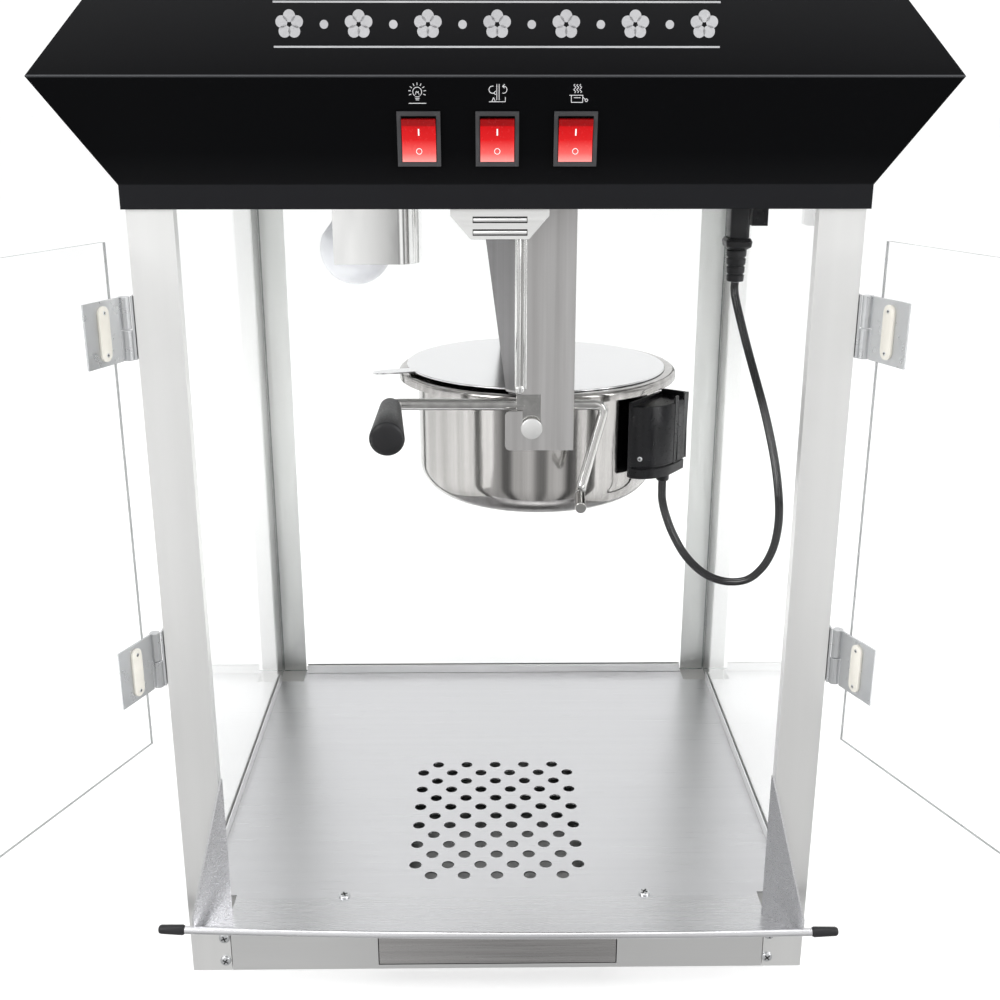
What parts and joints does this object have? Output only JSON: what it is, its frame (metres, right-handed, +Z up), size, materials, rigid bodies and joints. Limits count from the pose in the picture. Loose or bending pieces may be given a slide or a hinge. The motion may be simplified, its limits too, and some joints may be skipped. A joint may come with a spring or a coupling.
{
  "type": "popcorn maker",
  "caption": "Table-top popcorn cabinet: glazed case, two hinged doors, tilting kettle with stirrer and lid flap, black hood with rocker switches, kernel drawer and serving shelf.",
  "frame": {"origin": "middle of the cabinet's flat underside", "axes": "+Z up, -Y towards the doors and the serving shelf, +X to the right seen from the front"},
  "size_m": [0.627, 0.6257, 0.7],
  "materials": {
    "brushed_steel": "brushed",
    "polished_steel": "polished",
    "zinc_steel": "zinc plated",
    "black_enamel": "satin powder coat",
    "black_plastic": "satin",
    "glass": "clear",
    "clear_acrylic": "clear",
    "red_lens": "translucent gloss",
    "frosted_glass": "frosted",
    "ceramic": "glazed porcelain"
  },
  "bodies": {
    "cabinet": {"base_pan": "brushed_steel", "deck_plate": "brushed_steel", "front_post_left": "brushed_steel", "front_post_right": "brushed_steel", "rear_post_left": "brushed_steel", "rear_post_right": "brushed_steel", "glass_channel_left": "brushed_steel", "glass_channel_right": "brushed_steel", "glass_channel_rear": "brushed_steel", "side_glass_left": "glass", "side_glass_right": "glass", "rear_glass": "glass", "hood_shell": "black_enamel", "rear_panel": "black_enamel", "mains_inlet": "black_plastic", "ceiling_plate": "brushed_steel", "switch_bezel_light": "black_plastic", "switch_bezel_motor": "black_plastic", "switch_bezel_heat": "black_plastic", "kettle_hanger_front": "brushed_steel", "kettle_hanger_rear": "brushed_steel", "drive_motor": "zinc_steel", "kettle_lead": "black_plastic", "lead_plug": "black_plastic", "lead_socket": "black_plastic", "lamp_holder": "ceramic", "lamp_bulb": "frosted_glass", "lamp_shield": "polished_steel", "hinge_post_leaf_left_lower": "zinc_steel", "hinge_post_leaf_left_upper": "zinc_steel", "hinge_post_leaf_right_lower": "zinc_steel", "hinge_post_leaf_right_upper": "zinc_steel", "door_catch": "zinc_steel", "serving_shelf": "brushed_steel", "shelf_cap_left": "black_plastic", "shelf_cap_right": "black_plastic"},
    "left_door": {"door_panel_left": "clear_acrylic", "door_strike_left": "zinc_steel", "hinge_door_leaf_left_lower": "zinc_steel", "hinge_door_leaf_left_upper": "zinc_steel"},
    "right_door": {"door_panel_right": "clear_acrylic", "door_strike_right": "zinc_steel", "hinge_door_leaf_right_lower": "zinc_steel", "hinge_door_leaf_right_upper": "zinc_steel"},
    "kettle": {"kettle_jacket": "polished_steel", "kettle_bowl": "polished_steel", "lid_fixed": "polished_steel", "trunnion_rear": "brushed_steel", "dump_handle": "brushed_steel", "handle_grip": "black_plastic", "terminal_box": "black_plastic"},
    "flap": {"lid_flap": "polished_steel"},
    "stirring": {"stirrer": "brushed_steel"},
    "drive": {"drive_shaft": "brushed_steel"},
    "latch": {"latch_lever": "brushed_steel"},
    "rocker_light": {"switch_rocker_light": "red_lens"},
    "rocker_motor": {"switch_rocker_motor": "red_lens"},
    "rocker_heat": {"switch_rocker_heat": "red_lens"},
    "drawer": {"drawer_tray": "brushed_steel", "drawer_front": "brushed_steel"}
  },
  "joints": [
    {"name": "left_door_hinge", "type": "hinge", "parent": "cabinet", "child": "left_door", "pos_m": [-0.2253, -0.2072, 0.355], "axis": [0, 0, 1], "range_deg": [-8, 112]},
    {"name": "right_door_hinge", "type": "hinge", "parent": "cabinet", "child": "right_door", "pos_m": [0.2253, -0.2072, 0.355], "axis": [0, 0, 1], "range_deg": [-112, 8]},
    {"name": "kettle_tilt", "type": "hinge", "parent": "cabinet", "child": "kettle", "pos_m": [0.0247, 0, 0.382], "axis": [0, -1, 0], "range_deg": [0, 100]},
    {"name": "lid_flap_hinge", "type": "hinge", "parent": "kettle", "child": "flap", "pos_m": [0.0095, 0, 0.405], "axis": [0, 1, 0], "range_deg": [0, 85]},
    {"name": "drive_spin", "type": "hinge", "parent": "cabinet", "child": "drive", "pos_m": [0.033, 0, 0.54], "axis": [0, 0, 1], "continuous": true},
    {"name": "stirrer_spin", "type": "hinge", "parent": "kettle", "child": "stirring", "pos_m": [0.033, 0, 0.4], "axis": [0, 0, 1], "continuous": true},
    {"name": "latch_swing", "type": "hinge", "parent": "cabinet", "child": "latch", "pos_m": [0.05, -0.1136, 0.397], "axis": [-1, 0, 0], "range_deg": [0, 45]},
    {"name": "drawer_slide", "type": "slide", "parent": "cabinet", "child": "drawer", "axis": [0, -1, 0], "range_m": [0, 0.22]},
    {"name": "switch_light", "type": "hinge", "parent": "cabinet", "child": "rocker_light", "pos_m": [-0.0452, -0.21038, 0.5783], "axis": [-1, 0, 0], "range_deg": [0, 14]},
    {"name": "switch_motor", "type": "hinge", "parent": "cabinet", "child": "rocker_motor", "pos_m": [0, -0.21038, 0.5783], "axis": [-1, 0, 0], "range_deg": [0, 14]},
    {"name": "switch_heat", "type": "hinge", "parent": "cabinet", "child": "rocker_heat", "pos_m": [0.0452, -0.21038, 0.5783], "axis": [-1, 0, 0], "range_deg": [0, 14]}
  ],
  "couplings": [
    {"joint": "stirrer_spin", "follows": "drive_spin", "ratio": 1}
  ]
}
